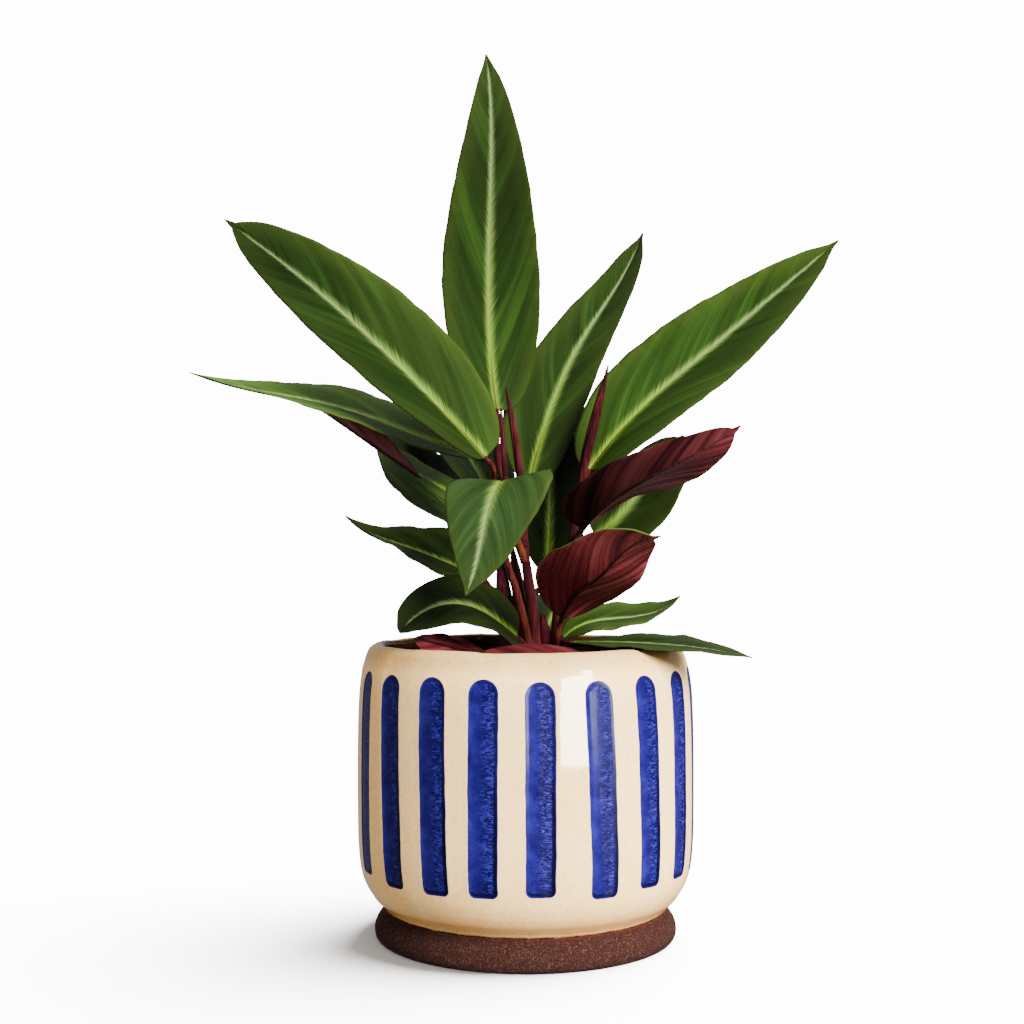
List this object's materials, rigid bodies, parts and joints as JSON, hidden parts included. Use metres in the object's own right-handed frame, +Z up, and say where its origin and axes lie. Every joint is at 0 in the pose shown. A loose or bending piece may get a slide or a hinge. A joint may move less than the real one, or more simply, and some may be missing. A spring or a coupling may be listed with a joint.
{
  "type": "potted stripestar stromanthe",
  "caption": "Potted prayer plant with long feather-striped leaves, maroon undersides and red stems, in a round glazed pot with upright stripes on an unglazed foot.",
  "frame": {"origin": "centre of the pot's flat underside", "axes": "+Z up through the crown leaf; the picture looks along +Y, with +X to its right"},
  "size_m": [0.299, 0.179, 0.4009],
  "materials": {
    "pot_glaze": "gloss cream glaze over stoneware, with cobalt blue stripes and an unglazed brown foot",
    "grow_pot_plastic": "matt",
    "potting_soil": "crumbly and matt",
    "red_stem": "satin",
    "leaf_green": "satin, with a pale feathered midrib",
    "leaf_pale": "satin, with a pale feathered midrib",
    "leaf_dark": "satin, with a pale feathered midrib",
    "leaf_maroon": "satin"
  },
  "bodies": {
    "root": {"pot": "pot_glaze", "grow_pot": "grow_pot_plastic", "soil": "potting_soil", "shoot_main": "red_stem", "shoot_right": "red_stem", "shoot_left": "red_stem", "spear_main": "red_stem", "spear_left": "red_stem", "spear_right": "red_stem", "leaf_crown": "leaf_green", "leaf_upper_left": "leaf_green", "leaf_upper_right": "leaf_green", "leaf_right": "leaf_green", "leaf_left_long": "leaf_green", "leaf_left_twisted": "leaf_maroon", "leaf_left_back": "leaf_dark", "leaf_front_drooping": "leaf_pale", "leaf_left_low": "leaf_dark", "leaf_left_arching": "leaf_green", "leaf_right_maroon": "leaf_maroon", "leaf_right_back": "leaf_dark", "leaf_front_maroon": "leaf_maroon", "leaf_centre_back": "leaf_dark", "leaf_right_low": "leaf_dark", "leaf_right_rim": "leaf_dark", "leaf_rim_left": "leaf_maroon", "leaf_rim_front": "leaf_maroon", "leaf_back_low": "leaf_dark", "leaf_back_left": "leaf_green", "leaf_back_right": "leaf_green", "leaf_back_rim": "leaf_dark"}
  },
  "joints": []
}
